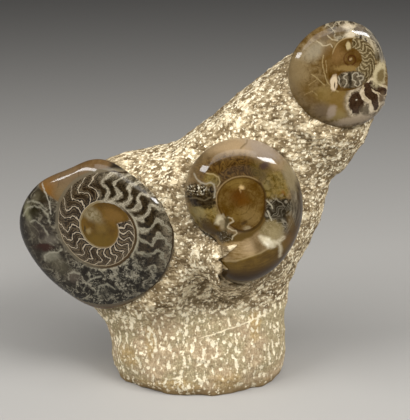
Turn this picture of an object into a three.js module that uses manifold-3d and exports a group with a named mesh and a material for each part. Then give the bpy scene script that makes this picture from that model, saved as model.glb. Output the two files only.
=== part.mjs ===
// Polished ammonite block: a free-standing piece of limestone, sawn flat underneath and chiselled
// all over, with three ammonites set in its front face. Each ammonite is a thick rounded disc with a
// spiral outline, ground and polished, and stands a little proud of the chiselled stone around it.
//
// Millimetres, +Z up. The front of the block faces -Y and +X is to its right as seen from the front.
// The origin is on the sawn underside, at the middle of the foot.
import * as THREE from "three";
import { ParametricGeometry } from "three/addons/geometries/ParametricGeometry.js";
import { mergeVertices } from "three/addons/utils/BufferGeometryUtils.js";
import { ImprovedNoise } from "three/addons/math/ImprovedNoise.js";
import Module from "manifold-3d";

const wasm = await Module();
wasm.setup();

const { degToRad, lerp, radToDeg, smoothstep } = THREE.MathUtils;
const FULL_TURN = 2 * Math.PI;

// ---- driving dimensions -------------------------------------------------------------------------

const FIT_GAP = 0.3; // clearance between an ammonite and the pocket it sits in

// The three ammonites. The pole is the centre of the spiral, on the disc's widest plane. The face is
// turned by yaw (towards +X) and leans back by pitch. The radii are those of the outline at equal
// steps, clockwise from the top as seen from the front. The face rises above the widest plane and
// the back drops behind it. The stone meets the disc at the seat height above that plane, and past
// its reach, which differs above and below the disc, the stone goes back to its own shape.
// A tube is a full outer whorl: it rises from a seam round the lower inner whorls. Heights within it
// are shares of the face height.
const AMMONITES = [
  {
    name: "left_ammonite",
    pole: [-81, -27, 144],
    yaw: -14,
    pitch: 4,
    radii: [61, 56, 61, 66, 66.2, 66.2, 70.5, 66.5, 68.5, 73.5, 66.5, 57.5],
    face: 15,
    back: 17,
    seat: 7,
    reach: { above: 24, below: 20 },
    tube: null,
    color: 0x4a4038,
  },
  {
    name: "middle_ammonite",
    pole: [31, -44, 175],
    yaw: 4,
    pitch: 10,
    radii: [
      51, 50.8, 50.5, 50.3, 50.5, 50.9, 51.7, 53.2, 55.3, 58.4, 62.5, 66.4,
      68.6, 63, 37, 37.5, 39, 41, 43.2, 45, 46.8, 48.4, 49.5, 50.4,
    ],
    face: 21,
    back: 20,
    seat: 3,
    reach: { above: 26, below: 11 },
    tube: {
      seamRadii: [21.5, 22, 21, 19.3, 20.3, 23, 29, 23, 18.5, 18.8, 20.3, 21.3],
      middle: 0.9,
      seam: 0.85,
    },
    color: 0x6b4f2b,
  },
  {
    name: "top_ammonite",
    pole: [118, -22, 282],
    yaw: 6,
    pitch: 10,
    radii: [31.8, 28.5, 26, 27, 34, 46, 51.5, 54, 54, 50, 42, 36],
    face: 13,
    back: 16,
    seat: 6,
    reach: { above: 16, below: 15 },
    tube: null,
    color: 0x6f5a34,
  },
];

// The broken mouth of the middle ammonite is buried. The stone there carries its outer tube on as a
// ridge, full from the mouth and sinking away beyond it. Angles are clockwise from the top. The lip
// leans forward by some degrees for each millimetre outside the ridge's middle line.
const MOUTH_RIDGE = {
  radius: 50,
  halfWidth: 20,
  rise: 18.6,
  mouth: 186,
  full: 194,
  lean: 0.55,
  crestEnd: 208,
  end: 236,
};

// The block, as a ladder of rungs from the foot up. A rung gives the left and right edge of the stone
// as X, Z, how far the stone reaches in front of and behind the XZ plane there, and the number of
// rows of facets up to the next rung.
const RUNGS = [
  { left: [-76, 0], right: [74, 0], front: 51, back: 44, rows: 2 },
  { left: [-79, 16], right: [75, 16], front: 52, back: 46, rows: 2 },
  { left: [-80, 34], right: [75, 34], front: 49, back: 45, rows: 3 },
  { left: [-86, 52], right: [75, 50], front: 43, back: 44, rows: 3 },
  { left: [-97, 68], right: [75, 65], front: 38, back: 43, rows: 4 },
  { left: [-107, 88], right: [77, 80], front: 36, back: 41, rows: 4 },
  { left: [-114, 112], right: [82, 98], front: 36, back: 39, rows: 5 },
  { left: [-115, 138], right: [91, 117], front: 36, back: 37, rows: 4 },
  { left: [-107, 166], right: [98, 134], front: 35, back: 36, rows: 3 },
  { left: [-84, 193], right: [103, 151], front: 34, back: 35, rows: 3 },
  { left: [-55, 202], right: [106, 168], front: 33, back: 34, rows: 3 },
  { left: [-20, 210], right: [109, 181], front: 32, back: 33, rows: 2 },
  { left: [5, 230], right: [121, 192], front: 34, back: 32, rows: 3 },
  { left: [34, 254], right: [132, 210], front: 35, back: 30, rows: 3 },
  { left: [57, 272], right: [139, 227], front: 34, back: 28, rows: 3 },
  { left: [78, 286], right: [146, 249], front: 31, back: 26, rows: 4 },
  { left: [96, 296], right: [147.5, 262], front: 25, back: 24, rows: 3 },
  { left: [113, 303], right: [147.5, 277], front: 21, back: 20, rows: 0 },
];
const SECTION_POWER = { foot: 2, body: 2.6 }; // 2 is an ellipse, and more is squarer
const SQUARING_RUNGS = 4; // the section turns from the foot's to the body's over this many rungs
const CAP_ROWS = 2; // rows of facets that cover the sawn underside
const CROWN_RUNGS = 2.2; // the tip closes over this many rungs
const CROWN_POWER = 2.4;
const EDGE_CROWDING = 0.8; // how much the columns of facets crowd towards the side edges

const LUMPS = [
  { size: 34, height: 2.2 },
  { size: 13, height: 1.4 },
]; // unevenness of the stone, as waves of this size and height
const SAWN_MARGIN = 7; // the lumps fade out over this height above the sawn underside
const EDGE_CHIPS = { size: 11, depth: 5, height: 9 }; // bites out of the sawn edge

const FRONT_COLUMNS = 42;
const BACK_COLUMNS = 14;
const DISC_COLUMNS = 44;
const FLAT_RINGS = 8;
const INNER_RINGS = 3;
const TUBE_RINGS = 8;
const BACK_RINGS = 3;
const SHOULDER = { level: 5, round: 0.4 }; // a flat face stays level, then rounds off at its rim
const TUBE_SECTION = { crest: 0.45, level: 3, round: 0.5 }; // the same past a whorl's crest

// ---- helpers ------------------------------------------------------------------------------------

// A closed solid from a geometry whose shared vertices are not yet merged.
function solidOf(geometry) {
  geometry.deleteAttribute("normal");
  geometry.deleteAttribute("uv");
  const merged = mergeVertices(geometry, 1e-4);
  return new wasm.Manifold(
    new wasm.Mesh({
      numProp: 3,
      vertProperties: merged.attributes.position.array,
      triVerts: new Uint32Array(merged.index.array),
    }),
  );
}

function geometryOf(solid) {
  const { vertProperties, triVerts } = solid.getMesh();
  return new THREE.BufferGeometry()
    .setAttribute("position", new THREE.BufferAttribute(vertProperties, 3))
    .setIndex(new THREE.BufferAttribute(triVerts, 1));
}

// Splits each four-sided cell of a grid surface along its shorter diagonal.
function splitAcrossShorter(geometry) {
  const { index, attributes } = geometry;
  const corner = (place) => new THREE.Vector3().fromBufferAttribute(attributes.position, place);
  for (let i = 0; i < index.count; i += 6) {
    const [a, b, d, , c] = index.array.slice(i, i + 6);
    if (corner(a).distanceTo(corner(c)) < corner(b).distanceTo(corner(d))) {
      index.array.set([a, b, c, a, c, d], i);
    }
  }
  return geometry;
}

// A stone or shell finish for one piece.
function finish(color, roughness) {
  return new THREE.MeshStandardMaterial({ color, roughness, metalness: 0 });
}

// ---- the ammonites ------------------------------------------------------------------------------

// Radius at an angle clockwise from the top, by a closed cubic spline through equal steps.
function radiusAt(radii, clockwise) {
  const count = radii.length;
  const place = (((clockwise / FULL_TURN) % 1) + 1) % 1 * count;
  const first = Math.floor(place);
  const [a, b, c, d] = [-1, 0, 1, 2].map((step) => radii[(first + step + count) % count]);
  const t = place - first;
  return b + 0.5 * t * (c - a + t * (2 * a - 5 * b + 4 * c - d + t * (3 * (b - c) + d - a)));
}

// One ring of a disc's face at one angle: its share of the way out to the outline, and its height as
// a share of the face's full height. A flat polished disc is level with a rounded shoulder. A whorled
// one has lower inner whorls, whose last ring is the seam, and then a full outer tube.
function faceRing({ radii, tube }, clockwise, ring) {
  if (!tube) {
    const out = Math.sin((ring / FLAT_RINGS) * (Math.PI / 2));
    return { out, height: (1 - out ** SHOULDER.level) ** SHOULDER.round };
  }
  const seamOut = radiusAt(tube.seamRadii, clockwise) / radiusAt(radii, clockwise);
  if (ring <= INNER_RINGS) {
    const inwards = ring / INNER_RINGS;
    return { out: seamOut * inwards, height: lerp(tube.middle, tube.seam, inwards ** 2) };
  }
  const across = Math.sin(((ring - INNER_RINGS) / TUBE_RINGS) * (Math.PI / 2));
  const { crest, level, round } = TUBE_SECTION;
  const rise = lerp(tube.seam, 1, smoothstep(across, 0, crest));
  return { out: lerp(seamOut, 1, across), height: rise * (1 - across ** level) ** round };
}

// One ring of the back, counted inwards from the widest plane.
function backRing(ring) {
  const out = Math.cos((ring / BACK_RINGS) * (Math.PI / 2));
  return { out, height: Math.sqrt(1 - out * out) };
}

// The disc in its own frame: X right, Y up in the plane of the disc, Z out of its face.
function discGeometry(ammonite, grow) {
  const faceRings = ammonite.tube ? INNER_RINGS + TUBE_RINGS : FLAT_RINGS;
  const surface = (u, v, target) => {
    const clockwise = u * FULL_TURN;
    const ring = Math.round(v * (faceRings + BACK_RINGS));
    const onFace = ring < faceRings;
    const { out, height } = onFace
      ? faceRing(ammonite, clockwise, ring)
      : backRing(ring - faceRings);
    const radius = out * (radiusAt(ammonite.radii, clockwise) + grow);
    const level = height * (onFace ? ammonite.face + grow : -ammonite.back - grow);
    target.set(radius * Math.sin(clockwise), radius * Math.cos(clockwise), level);
  };
  return new ParametricGeometry(surface, DISC_COLUMNS, faceRings + BACK_RINGS);
}

// From a disc's own frame to the block's: stand it up facing -Y, then lean and turn it.
function placement({ pole, yaw, pitch }) {
  const stand = new THREE.Matrix4().makeRotationX(Math.PI / 2);
  const lean = new THREE.Matrix4().makeRotationX(-degToRad(pitch));
  const turn = new THREE.Matrix4().makeRotationZ(degToRad(yaw));
  return new THREE.Matrix4().makeTranslation(...pole).multiply(turn).multiply(lean).multiply(stand);
}

// ---- the stone ----------------------------------------------------------------------------------

function track(pick) {
  return new THREE.CatmullRomCurve3(RUNGS.map((rung) => new THREE.Vector3(...pick(rung))));
}
const leftEdge = track(({ left: [x, z] }) => [x, 0, z]);
const rightEdge = track(({ right: [x, z] }) => [x, 0, z]);
const depths = track(({ front, back }) => [front, back, 0]);

// How strongly the stone's face follows an ammonite's seat at X, Z, and how far forward that seat is.
function seatAt(ammonite, x, z) {
  const [px, py, pz] = ammonite.pole;
  const [dx, dz] = [x - px, z - pz];
  const clockwise = Math.atan2(dx, dz);
  const outside = Math.hypot(dx, dz) - radiusAt(ammonite.radii, clockwise);
  const { above, below } = ammonite.reach;
  const reach = lerp(below, above, (1 + Math.cos(clockwise)) / 2);
  const normal = new THREE.Vector3(0, 0, 1).transformDirection(placement(ammonite));
  const y = py + (ammonite.seat - normal.x * dx - normal.z * dz) / normal.y;
  const pull = (reach / Math.max(outside, 1)) ** 3;
  return { pull, forward: -y };
}

// Height of the ridge that carries on the middle ammonite's tube beyond its buried mouth.
function mouthRidgeAt(x, z) {
  const [, middle] = AMMONITES;
  const [px, , pz] = middle.pole;
  const { radius, halfWidth, rise, mouth, full, lean, crestEnd, end } = MOUTH_RIDGE;
  const outwards = Math.hypot(x - px, z - pz) - radius;
  const sideways = Math.abs(outwards) / halfWidth;
  const turned = radToDeg(Math.atan2(x - px, z - pz)) + 360;
  const clockwise = turned + lean * Math.max(0, outwards);
  const section = Math.sqrt(Math.max(0, 1 - sideways ** 3));
  const along = smoothstep(clockwise, mouth, full) * (1 - smoothstep(clockwise, crestEnd, end));
  return rise * section * along;
}

// How far the stone's face reaches in front of the XZ plane at X, Z.
function frontAt(plain, x, z) {
  let [sum, pulls] = [plain, 1];
  for (const ammonite of AMMONITES) {
    const seat = seatAt(ammonite, x, z);
    sum += seat.pull * seat.forward;
    pulls += seat.pull;
  }
  return sum / pulls + mouthRidgeAt(x, z);
}

const noise = new ImprovedNoise();
function lumpAt(x, y, z) {
  return LUMPS.reduce(
    (sum, { size, height }) => sum + height * noise.noise(x / size, y / size, z / size),
    0,
  );
}

// How far the chipped sawn edge is bitten inwards.
function chipAt(x, y, z) {
  const { size, depth, height } = EDGE_CHIPS;
  const bite = Math.max(0, noise.noise(x / size, y / size, 0.5) + 0.25);
  return depth * bite * (1 - smoothstep(z, 0, height));
}

// Across the block from -1 to 1 and forward of it from 1 to -1, for a share u of the way round.
function around(u, power) {
  const frontShare = FRONT_COLUMNS / (FRONT_COLUMNS + BACK_COLUMNS);
  const onFront = u <= frontShare;
  const s = onFront ? (2 * u) / frontShare - 1 : 1 - (2 * (u - frontShare)) / (1 - frontShare);
  const across = lerp(s, Math.sin((s * Math.PI) / 2), EDGE_CROWDING);
  const deep = Math.max(0, 1 - Math.abs(across) ** power) ** (1 / power);
  return [across, onFront ? deep : -deep];
}

// The rows of facets: first the sawn underside, at a growing share of its full spread, then up the
// rungs. A row is given as its place along the ladder, counted in rungs.
const ROWS = [
  ...Array.from({ length: CAP_ROWS }, (_, row) => ({ rung: 0, spread: row / CAP_ROWS })),
  ...RUNGS.flatMap(({ rows }, rung) =>
    Array.from({ length: rows }, (_, row) => ({ rung: rung + row / rows, spread: 1 })),
  ),
  { rung: RUNGS.length - 1, spread: 1 },
];

// A closed surface: the sawn underside, then the sides rung by rung, then the closing tip.
function blockSurface(u, v, target) {
  const { rung, spread } = ROWS[Math.round(v * (ROWS.length - 1))];
  const lastRung = RUNGS.length - 1;
  const rise = rung / lastRung;
  const crown = Math.max(0, (rung - lastRung + CROWN_RUNGS) / CROWN_RUNGS);
  const size = spread * Math.sqrt(Math.max(0, 1 - crown ** CROWN_POWER));
  const left = leftEdge.getPoint(rise);
  const right = rightEdge.getPoint(rise);
  const { x: front, y: back } = depths.getPoint(rise);
  const squaring = smoothstep(rung, 0, SQUARING_RUNGS);
  const power = lerp(SECTION_POWER.foot, SECTION_POWER.body, squaring);
  const [across, deep] = around(u, power).map((value) => value * size);
  const x = lerp(left.x, right.x, (1 + across) / 2);
  const z = lerp(left.z, right.z, (1 + across) / 2);
  const y = deep > 0 ? -deep * frontAt(front, x, z) : -deep * back;
  const push = lumpAt(x, y, z) * smoothstep(z, 0, SAWN_MARGIN) - chipAt(x, y, z) * spread;
  target.set(x + across * push, y - deep * push, z);
}

// ---- the object ---------------------------------------------------------------------------------

const group = new THREE.Group();
group.name = "polished_ammonite_block";

const columns = FRONT_COLUMNS + BACK_COLUMNS;
const rough = new ParametricGeometry(blockSurface, columns, ROWS.length - 1);
let stone = solidOf(splitAcrossShorter(rough));
for (const ammonite of AMMONITES) {
  const pocket = discGeometry(ammonite, FIT_GAP).applyMatrix4(placement(ammonite));
  stone = stone.subtract(solidOf(pocket));
  const disc = new THREE.Mesh(
    geometryOf(solidOf(discGeometry(ammonite, 0))),
    finish(ammonite.color, 0.15),
  );
  disc.name = ammonite.name;
  disc.applyMatrix4(placement(ammonite));
  group.add(disc);
}
const block = new THREE.Mesh(geometryOf(stone), finish(0xb3a27e, 0.9));
block.name = "limestone_matrix";
group.add(block);

export default group;
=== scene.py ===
import math

import bmesh
import bpy
import numpy as np
from mathutils import Euler, Matrix, Vector, kdtree, noise
from mathutils.bvhtree import BVHTree


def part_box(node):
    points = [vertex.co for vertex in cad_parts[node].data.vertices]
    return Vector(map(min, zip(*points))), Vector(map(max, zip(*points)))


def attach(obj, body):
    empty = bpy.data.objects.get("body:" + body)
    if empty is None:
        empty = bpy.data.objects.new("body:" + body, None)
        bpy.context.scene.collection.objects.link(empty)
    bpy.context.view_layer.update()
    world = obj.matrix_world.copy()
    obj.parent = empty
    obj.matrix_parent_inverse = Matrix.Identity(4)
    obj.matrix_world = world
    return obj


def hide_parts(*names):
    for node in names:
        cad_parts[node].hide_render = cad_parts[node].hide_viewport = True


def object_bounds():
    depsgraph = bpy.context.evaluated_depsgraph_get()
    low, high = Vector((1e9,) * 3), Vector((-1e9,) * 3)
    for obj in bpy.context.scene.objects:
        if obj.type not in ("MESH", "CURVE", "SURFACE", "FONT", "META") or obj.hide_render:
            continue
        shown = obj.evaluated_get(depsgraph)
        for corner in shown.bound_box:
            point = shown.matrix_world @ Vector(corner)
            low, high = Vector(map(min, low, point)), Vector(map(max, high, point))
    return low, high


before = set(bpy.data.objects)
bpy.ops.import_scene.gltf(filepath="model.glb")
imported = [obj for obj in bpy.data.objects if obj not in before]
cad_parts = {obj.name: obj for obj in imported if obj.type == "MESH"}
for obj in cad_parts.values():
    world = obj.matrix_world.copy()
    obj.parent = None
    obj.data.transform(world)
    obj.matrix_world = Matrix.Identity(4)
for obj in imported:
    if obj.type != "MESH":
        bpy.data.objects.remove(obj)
cad_low, cad_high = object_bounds()
MM = 0.001

# ---- Camera ----
# A long lens looks down a little at the block from straight in front.
CAMERA_DISTANCE, CAMERA_ELEVATION = 0.82, math.radians(20)
CAMERA_LENS, CAMERA_SENSOR = 82.7, 36
aim = (cad_low + cad_high) / 2 * Vector((1, 0, 1)) + Vector((6.4, 0, -6.2)) * MM
camera = bpy.data.objects.new("camera", bpy.data.cameras.new("camera"))
camera.data.lens, camera.data.sensor_width = CAMERA_LENS, CAMERA_SENSOR
camera.location = aim + CAMERA_DISTANCE * Vector(
    (0, -math.cos(CAMERA_ELEVATION), math.sin(CAMERA_ELEVATION)))
camera.rotation_euler = (aim - camera.location).to_track_quat("-Z", "Y").to_euler()
bpy.context.scene.collection.objects.link(camera)
bpy.context.scene.camera = camera
bpy.context.scene.view_settings.view_transform = "Standard"

# ---- Studio ----
# A plain pale floor, a wide soft light overhead, a soft panel on each side in front, and a dim sky.
FLOOR_HALF, FLOOR_DROP = 9.0, 0.0002
SKY_COLOR, SKY_STRENGTH = (0.98, 0.98, 1.0), 0.07
LAMPS = {  # each one's place, size and watts
    "ceiling": ((-0.10, -0.65, 1.45), (1.60, 0.80), 12),
    "panel_left": ((-1.04, -0.56, 1.04), (0.92, 0.24), 13.5),
    "panel_right": ((0.92, -0.62, 1.16), (0.84, 0.24), 20),
}


def linked(name, mesh):
    """A new object in the scene that shows this mesh."""
    piece = bpy.data.objects.new(name, mesh)
    bpy.context.scene.collection.objects.link(piece)
    return piece


sheet = bmesh.new()
bmesh.ops.create_grid(sheet, x_segments=1, y_segments=1, size=FLOOR_HALF)
bmesh.ops.translate(sheet, verts=sheet.verts, vec=(0, 0, -FLOOR_DROP))
floor = linked("floor", bpy.data.meshes.new("floor"))
sheet.to_mesh(floor.data)
sheet.free()
floor_paint = bpy.data.materials.new("pale_floor")
floor_paint.use_nodes = True
floor_shader = floor_paint.node_tree.nodes["Principled BSDF"]
floor_shader.inputs["Base Color"].default_value = (0.40, 0.385, 0.36, 1)
floor_shader.inputs["Roughness"].default_value = 0.9
floor.data.materials.append(floor_paint)

sky = bpy.data.worlds.new("sky")
sky.use_nodes = True
sky.node_tree.nodes["Background"].inputs["Color"].default_value = (*SKY_COLOR, 1)
sky.node_tree.nodes["Background"].inputs["Strength"].default_value = SKY_STRENGTH
bpy.context.scene.world = sky

for name, (spot, size, watts) in LAMPS.items():
    light = bpy.data.lights.new(name, "AREA")
    light.shape = "RECTANGLE"
    light.size, light.size_y = size
    light.energy = watts
    holder = bpy.data.objects.new(name, light)
    holder.location = spot
    holder.visible_camera = False
    holder.rotation_euler = (aim - holder.location).to_track_quat("-Z", "Y").to_euler()
    bpy.context.scene.collection.objects.link(holder)

# ---- Limestone ----
# One piece of limestone that holds the ammonites, sawn flat underneath and worked all over with a
# point chisel. Crushed, cream-coloured bruises run down the base, across the arm, and square to each
# ammonite's rim. Angles here are in degrees, and sizes in millimetres.
# Each ammonite's middle, as a share of its box, how it is turned and leant, and where stone meets it.
AMMONITES = {
    "left_ammonite": {"share": (0.5270, 0.5187, 0.5361), "yaw": -14, "pitch": 4, "seat": 7},
    "middle_ammonite": {"share": (0.4574, 0.5624, 0.5722), "yaw": 4, "pitch": 10, "seat": 3},
    "top_ammonite": {"share": (0.6310, 0.5418, 0.6129), "yaw": 6, "pitch": 10, "seat": 6},
}
PLUG = {"across": 0.975, "back": 0.93, "drop": 0.5}  # how far a plug keeps inside its ammonite
MOUTH_FILL = {"start": 164, "full": 176, "end": 216, "drop": 2.0}
# The broken lip of stone over the middle ammonite's mouth: its edge's angle at each radius and its
# inner end's radius at each angle, how far the stone stands above the shell and how far the shell
# stands above the stone beside the edge.
LIP = {
    "radii": [28.5, 33, 38.7, 43.4, 48, 52.7, 56.5, 60, 63.5, 67, 72, 77],
    "angles": [183, 186, 194, 198, 202.5, 191, 195.5, 198, 196, 193.5, 199, 204],
    "inner_angles": [184, 190.5, 205, 212], "inner_radii": [31.5, 32.2, 35.5, 38.5],
    "above": 1.3, "below": 2.2, "ground": 3.0, "free": 58, "span": (172, 214, 29, 78), "deepest": -4,
}
STONE_VOXEL = 1.05 * MM
SMOOTHING_PASSES = 14
SAWN_BAND = 0.4 * MM
SWELLS = [(26, 0.9), (10, 0.9), (3.6, 0.6)]  # size and height of the uneven ground
FULL_HEIGHT, STILL_DEPTH = 6, 4  # it's full this far up, and none this far inside a rim
HIDDEN = {"inside": 3, "foot": 1, "back": 0.3}  # where the stone can be thinned more
STONE_TRIANGLES = 185000


def place_of(name):
    """From an ammonite's own frame (X right, Y up, Z out of its face) to the block's."""
    low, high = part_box(name)
    pole = low + (high - low) * Vector(AMMONITES[name]["share"])
    turn = Euler((math.radians(90 - AMMONITES[name]["pitch"]), 0,
                  math.radians(AMMONITES[name]["yaw"])))
    return Matrix.Translation(pole) @ turn.to_matrix().to_4x4()


def clockwise(x, y):
    """The angle of a point in an ammonite's frame, in degrees clockwise from the top."""
    return np.degrees(np.arctan2(x, y)) % 360


def smooth(value, low, high):
    """0 below low and 1 above high, with a smooth change between."""
    share = np.clip((value - low) / (high - low), 0, 1)
    return share * share * (3 - 2 * share)


def merged_copy(name):
    """A CAD node's solid as a bmesh whose facets share their corners."""
    form = bmesh.new()
    form.from_mesh(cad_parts[name].data)
    bmesh.ops.remove_doubles(form, verts=form.verts, dist=1e-6)
    return form


def settle(piece):
    """Works a piece's modifiers into its mesh."""
    shown = piece.evaluated_get(bpy.context.evaluated_depsgraph_get())
    mesh = bpy.data.meshes.new_from_object(shown)
    piece.modifiers.clear()
    piece.data = mesh


def corners(mesh, field="co"):
    """The place or normal of every vertex, as an array."""
    values = np.zeros(len(mesh.vertices) * 3)
    mesh.vertices.foreach_get(field, values)
    return values.reshape(-1, 3)


def reshape(mesh, spots):
    """Moves a mesh's corners."""
    mesh.vertices.foreach_set("co", spots.ravel())
    mesh.update()


def carried(points, matrix):
    """An array of points, taken from one frame to another."""
    matrix = np.array(matrix)
    return points @ matrix[:3, :3].T + matrix[:3, 3]


# The solid, with each pocket filled up to the seat, so that the stone runs on under the ammonites.
rough = merged_copy("limestone_matrix")
for name, ammonite in AMMONITES.items():
    place = place_of(name)
    plug = merged_copy(name)
    bmesh.ops.transform(plug, matrix=place.inverted(), verts=plug.verts)
    for vert in plug.verts:
        level = (ammonite["seat"] - PLUG["drop"]) * MM
        if name == "middle_ammonite":
            turned = clockwise(vert.co.x, vert.co.y)
            buried = (smooth(turned, MOUTH_FILL["start"], MOUTH_FILL["full"])
                      * (turned < MOUTH_FILL["end"]))
            level += buried * max(0, vert.co.z - MOUTH_FILL["drop"] * MM - level)
        vert.co.z = min(vert.co.z, level) if vert.co.z > 0 else vert.co.z * PLUG["back"]
    bmesh.ops.scale(plug, vec=(PLUG["across"], PLUG["across"], 1), verts=plug.verts)
    bmesh.ops.transform(plug, matrix=place, verts=plug.verts)
    filled = bpy.data.meshes.new("plug")
    plug.to_mesh(filled)
    plug.free()
    rough.from_mesh(filled)
stone = linked("worked_limestone", bpy.data.meshes.new("worked_limestone"))
rough.to_mesh(stone.data)
rough.free()
remesh = stone.modifiers.new("even", "REMESH")
remesh.mode, remesh.voxel_size = "VOXEL", STONE_VOXEL
settle(stone)
sawn = corners(stone.data)[:, 2] < SAWN_BAND
soften = stone.modifiers.new("soften", "SMOOTH")
soften.factor, soften.iterations = 0.5, SMOOTHING_PASSES
settle(stone)
spots = corners(stone.data)
spots[sawn, 2] = 0
reshape(stone.data, spots)

# the point chisel's bruises
rng = np.random.default_rng(7)
PLACES = {name: place_of(name) for name in AMMONITES}


def outline_of(name):
    """An ammonite's outline: angles clockwise from the top, in radians, and the radius at each."""
    x, y, _ = carried(corners(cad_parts[name].data), PLACES[name].inverted()).T
    angles, reach = np.arctan2(x, y), np.hypot(x, y)
    steps = np.linspace(-math.pi, math.pi, 73)
    radii = np.array([reach[np.abs(np.angle(np.exp(1j * (angles - a)))) < 0.12].max()
                      for a in steps])
    return steps, radii


OUTLINES = {name: outline_of(name) for name in AMMONITES}
RIM_DEPTH = 35 * MM


def from_rims(points):
    """Distance outside the nearest ammonite's rim and the way straight out from it, in metres."""
    best = np.full(len(points), 1.0)
    outward = np.zeros((len(points), 3))
    for name, place in PLACES.items():
        x, y, z = carried(points, place.inverted()).T
        reach = np.hypot(x, y)
        gap = reach - np.interp(np.arctan2(x, y), *OUTLINES[name])
        nearer = (gap < best) & (np.abs(z) < RIM_DEPTH)
        best = np.where(nearer, gap, best)
        away = np.stack([x, y, 0 * x], 1) / reach[:, None]
        outward[nearer] = (away @ np.array(place)[:3, :3].T)[nearer]
    return best, outward


def noises(points, size):
    """Smooth unevenness between about -1 and 1, of a size in millimetres, at each point."""
    return np.array([noise.noise(point) for point in points * (1 / (size * MM))])


spots = corners(stone.data)
normals = corners(stone.data, "normal")
gaps, outwards = from_rims(spots)
heights = spots[:, 2] / MM

BASE_TOP = 74
# Distances from a rim: where strokes start, how far they are square to it, and where the base's begin.
BORDER = {"start": -2, "square": 11, "base": 12}
LOWEST_STROKE, DOWNWARD = 3.5, -0.8  # none is lower, or where the stone faces further down
LOOKUP_CELL = 6 * MM
marks = []
taken = {}


def struck(place, normal, along, lean, beads, pitch, size, depth, strength):
    """One stroke of the chisel: a chain of bruises, each (length, width) of its size."""
    along = along - normal * (along @ normal)
    if np.linalg.norm(along) < 0.1:
        along = np.cross(normal, [1.0, 0.0, 0.0])
    along /= np.linalg.norm(along)
    side = np.cross(normal, along)
    along, side = (math.cos(lean) * along + math.sin(lean) * side,
                   math.cos(lean) * side - math.sin(lean) * along)
    for bead in range(beads):
        swell = rng.uniform(0.6, 1.15) * (1.25 if bead == beads - 1 else 1.0)
        at = place + (along * (bead - (beads - 1) / 2) * pitch + side * rng.normal(0, 0.5)) * MM
        marks.append((at, along, side, size[0] * swell * MM / 2, size[1] * swell * MM / 2,
                      depth * rng.uniform(0.7, 1.0), strength))


for index in rng.permutation(len(spots)):
    place, normal, gap, height = spots[index], normals[index], gaps[index] / MM, heights[index]
    if gap < BORDER["start"] or normal[2] < DOWNWARD or height < LOWEST_STROKE:
        continue
    on_base = height < BASE_TOP and gap > BORDER["base"]
    spacing, squeeze = (4.5, 0.60) if on_base else (3.0, 0.85)
    point = place * [1, 1, squeeze]
    key = (point / LOOKUP_CELL).astype(int)
    near = [taken.get((key[0] + i, key[1] + j, key[2] + k), ())
            for i in (-1, 0, 1) for j in (-1, 0, 1) for k in (-1, 0, 1)]
    if any(((other - point) ** 2).sum() < (spacing * MM) ** 2 for group in near for other in group):
        continue
    taken.setdefault(tuple(key), []).append(point)
    strength = rng.uniform(0.35, 1.0)
    if on_base:
        fade = np.clip((height - 8) / 12, 0.03, 1)
        struck(place, normal, np.array([0.0, 0.0, -1.0]), rng.normal(0, 0.16),
               int(rng.choice([1, 2, 3, 4, 6], p=[0.34, 0.24, 0.18, 0.14, 0.10])),
               rng.uniform(1.9, 2.8), (rng.uniform(2.0, 4.4), rng.uniform(1.2, 2.7)),
               rng.uniform(0.4, 0.9) * fade, rng.uniform(0.0, 1.0) * fade - 0.6 * (1 - fade))
    elif gap < BORDER["square"]:
        struck(place, normal, outwards[index], rng.normal(0, 0.3), 1, 0,
               (rng.uniform(2.6, 5.0), rng.uniform(1.5, 2.3)), rng.uniform(0.4, 0.9), strength)
    else:
        struck(place, normal, np.array([0.75, 0.0, 0.65]), rng.normal(0, 0.6),
               int(rng.choice([1, 2], p=[0.7, 0.3])), rng.uniform(1.5, 2.5),
               (rng.uniform(3.0, 6.0), rng.uniform(1.8, 2.8)), rng.uniform(0.35, 0.95), strength)


def chiselled(points):
    """How deep in the chisel's marks each point is, in millimetres, and how bruised it is."""
    tree = kdtree.KDTree(len(points))
    for index, point in enumerate(points):
        tree.insert(point, index)
    tree.balance()
    deep = np.zeros(len(points))
    bruise = np.full(len(points), -0.6)
    for place, along, side, half, wide, depth, strength in marks:
        near = [hit[1] for hit in tree.find_range(place, half * 1.25)]
        if not near:
            continue
        offset = points[near] - place
        u = offset @ along / half
        v = offset @ side / (wide * (1.15 - 0.45 * np.clip(u, -1, 1)))
        inside = 1 - np.sqrt(u * u + v * v)
        deep[near] = np.maximum(deep[near], depth * np.clip(inside * 1.6, 0, 1))
        bruise[near] = np.maximum(bruise[near], inside * (0.5 + 0.5 * strength))
    return deep, bruise


# the lip over the middle ammonite's mouth
mouth_place = PLACES["middle_ammonite"]
disc = merged_copy("middle_ammonite")
bmesh.ops.transform(disc, matrix=mouth_place.inverted(), verts=disc.verts)
shell = BVHTree.FromBMesh(disc)
disc.free()
local = carried(spots, mouth_place.inverted())
turned, reach = clockwise(local[:, 0], local[:, 1]), np.hypot(local[:, 0], local[:, 1]) / MM
start, end, nearest, farthest = LIP["span"]
near_mouth = (turned > start) & (turned < end) & (reach > nearest) & (reach < farthest)
near_mouth &= local[:, 2] > LIP["deepest"] * MM
for index in np.nonzero(near_mouth)[0]:
    x, y, z = local[index]
    hit = shell.ray_cast(Vector((x, y, 1)), Vector((0, 0, -1)))[0]
    edge = np.interp(reach[index], LIP["radii"], LIP["angles"])
    inner = np.interp(turned[index], LIP["inner_angles"], LIP["inner_radii"])
    past = min(math.radians(turned[index] - edge) * reach[index], reach[index] - inner)
    over = smooth(past, -0.5, 0.5)
    covered, bare = z, min(z, LIP["ground"] * MM) if reach[index] > LIP["free"] else z
    if hit is not None:
        covered = max(z, hit.z + LIP["above"] * MM)
        bare = min(z, max(hit.z - LIP["below"] * MM, LIP["ground"] * MM))
    local[index, 2] = over * covered + (1 - over) * bare
spots = carried(local, mouth_place)
reshape(stone.data, spots)
normals = corners(stone.data, "normal")

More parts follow.
